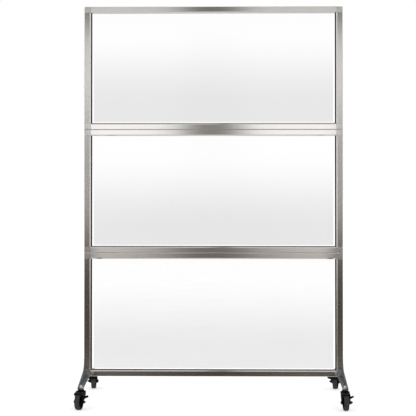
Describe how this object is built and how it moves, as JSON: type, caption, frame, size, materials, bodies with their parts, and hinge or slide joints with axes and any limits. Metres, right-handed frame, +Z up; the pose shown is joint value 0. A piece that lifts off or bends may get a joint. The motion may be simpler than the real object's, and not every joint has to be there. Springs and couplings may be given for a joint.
{
  "type": "portable medical divider",
  "caption": "Tall rolling divider: clear panels stacked in a slim aluminium frame, on two dark steel feet with braked swivel casters.",
  "frame": {"origin": "on the floor, under the middle of the divider", "axes": "+Z up, +X to the right seen from the front, -Y towards the viewer in front of the panels"},
  "size_m": [1.3304, 0.665, 1.944],
  "materials": {
    "frame_aluminium": "satin, fine lengthwise grain",
    "connector_alloy": "satin cast",
    "clear_acrylic": "clear with a pale grey tint that deepens downwards",
    "gasket_rubber": "matt",
    "foot_steel": "dark grey coated steel",
    "bright_zinc": "bright zinc plate",
    "black_steel": "black oxide, slight sheen",
    "caster_plastic": "black moulded, slight sheen",
    "tyre_rubber": "black rubber, worn grey on the tread"
  },
  "bodies": {
    "frame": {"stile_bottom_left": "frame_aluminium", "stile_bottom_right": "frame_aluminium", "rail_bottom_lower": "frame_aluminium", "rail_bottom_upper": "frame_aluminium", "gasket_bottom": "gasket_rubber", "clear_panel_bottom": "clear_acrylic", "connector_bottom_lower_left": "connector_alloy", "connector_bottom_lower_right": "connector_alloy", "connector_bottom_upper_left": "connector_alloy", "connector_bottom_upper_right": "connector_alloy", "stile_middle_left": "frame_aluminium", "stile_middle_right": "frame_aluminium", "rail_middle_lower": "frame_aluminium", "rail_middle_upper": "frame_aluminium", "gasket_middle": "gasket_rubber", "clear_panel_middle": "clear_acrylic", "connector_middle_lower_left": "connector_alloy", "connector_middle_lower_right": "connector_alloy", "connector_middle_upper_left": "connector_alloy", "connector_middle_upper_right": "connector_alloy", "stile_top_left": "frame_aluminium", "stile_top_right": "frame_aluminium", "rail_top_lower": "frame_aluminium", "rail_top_upper": "frame_aluminium", "gasket_top": "gasket_rubber", "clear_panel_top": "clear_acrylic", "connector_top_lower_left": "connector_alloy", "connector_top_lower_right": "connector_alloy", "connector_top_upper_left": "connector_alloy", "connector_top_upper_right": "connector_alloy", "tie_rod_left": "bright_zinc", "tie_nut_left": "bright_zinc", "tie_rod_right": "bright_zinc", "tie_nut_right": "bright_zinc", "foot_left": "foot_steel", "foot_right": "foot_steel", "caster_front_left_cap_nut": "bright_zinc", "caster_front_left_stem": "bright_zinc", "caster_front_right_cap_nut": "bright_zinc", "caster_front_right_stem": "bright_zinc", "caster_rear_right_cap_nut": "bright_zinc", "caster_rear_right_stem": "bright_zinc", "caster_rear_left_cap_nut": "bright_zinc", "caster_rear_left_stem": "bright_zinc"},
    "caster_front_left_swivel_body": {"caster_front_left_fork": "caster_plastic", "caster_front_left_axle": "black_steel"},
    "caster_front_left_wheel_body": {"caster_front_left_wheel": "tyre_rubber"},
    "caster_front_left_brake_body": {"caster_front_left_brake_lever": "caster_plastic"},
    "caster_front_right_swivel_body": {"caster_front_right_fork": "caster_plastic", "caster_front_right_axle": "black_steel"},
    "caster_front_right_wheel_body": {"caster_front_right_wheel": "tyre_rubber"},
    "caster_front_right_brake_body": {"caster_front_right_brake_lever": "caster_plastic"},
    "caster_rear_right_swivel_body": {"caster_rear_right_fork": "caster_plastic", "caster_rear_right_axle": "black_steel"},
    "caster_rear_right_wheel_body": {"caster_rear_right_wheel": "tyre_rubber"},
    "caster_rear_right_brake_body": {"caster_rear_right_brake_lever": "caster_plastic"},
    "caster_rear_left_swivel_body": {"caster_rear_left_fork": "caster_plastic", "caster_rear_left_axle": "black_steel"},
    "caster_rear_left_wheel_body": {"caster_rear_left_wheel": "tyre_rubber"},
    "caster_rear_left_brake_body": {"caster_rear_left_brake_lever": "caster_plastic"}
  },
  "joints": [
    {"name": "caster_front_left_swivel", "type": "hinge", "parent": "frame", "child": "caster_front_left_swivel_body", "pos_m": [-0.62475, -0.266, 0.09], "axis": [0, 0, 1], "continuous": true},
    {"name": "caster_front_left_wheel_spin", "type": "hinge", "parent": "caster_front_left_swivel_body", "child": "caster_front_left_wheel_body", "pos_m": [-0.63081, -0.29334, 0.038], "axis": [0.9763, -0.2164, 0], "continuous": true},
    {"name": "caster_front_left_brake", "type": "hinge", "parent": "caster_front_left_swivel_body", "child": "caster_front_left_brake_body", "pos_m": [-0.63081, -0.29334, 0.038], "axis": [-0.9763, 0.2164, 0], "range_deg": [0, 25]},
    {"name": "caster_front_right_swivel", "type": "hinge", "parent": "frame", "child": "caster_front_right_swivel_body", "pos_m": [0.62475, -0.266, 0.09], "axis": [0, 0, 1], "continuous": true},
    {"name": "caster_front_right_wheel_spin", "type": "hinge", "parent": "caster_front_right_swivel_body", "child": "caster_front_right_wheel_body", "pos_m": [0.62597, -0.29397, 0.038], "axis": [0.999, 0.0436, 0], "continuous": true},
    {"name": "caster_front_right_brake", "type": "hinge", "parent": "caster_front_right_swivel_body", "child": "caster_front_right_brake_body", "pos_m": [0.62597, -0.29397, 0.038], "axis": [-0.999, -0.0436, 0], "range_deg": [0, 25]},
    {"name": "caster_rear_right_swivel", "type": "hinge", "parent": "frame", "child": "caster_rear_right_swivel_body", "pos_m": [0.62475, 0.266, 0.09], "axis": [0, 0, 1], "continuous": true},
    {"name": "caster_rear_right_wheel_spin", "type": "hinge", "parent": "caster_rear_right_swivel_body", "child": "caster_rear_right_wheel_body", "pos_m": [0.63081, 0.29334, 0.038], "axis": [-0.9763, 0.2164, 0], "continuous": true},
    {"name": "caster_rear_right_brake", "type": "hinge", "parent": "caster_rear_right_swivel_body", "child": "caster_rear_right_brake_body", "pos_m": [0.63081, 0.29334, 0.038], "axis": [0.9763, -0.2164, 0], "range_deg": [0, 25]},
    {"name": "caster_rear_left_swivel", "type": "hinge", "parent": "frame", "child": "caster_rear_left_swivel_body", "pos_m": [-0.62475, 0.266, 0.09], "axis": [0, 0, 1], "continuous": true},
    {"name": "caster_rear_left_wheel_spin", "type": "hinge", "parent": "caster_rear_left_swivel_body", "child": "caster_rear_left_wheel_body", "pos_m": [-0.62597, 0.29397, 0.038], "axis": [-0.999, -0.0436, 0], "continuous": true},
    {"name": "caster_rear_left_brake", "type": "hinge", "parent": "caster_rear_left_swivel_body", "child": "caster_rear_left_brake_body", "pos_m": [-0.62597, 0.29397, 0.038], "axis": [0.999, 0.0436, 0], "range_deg": [0, 25]}
  ]
}
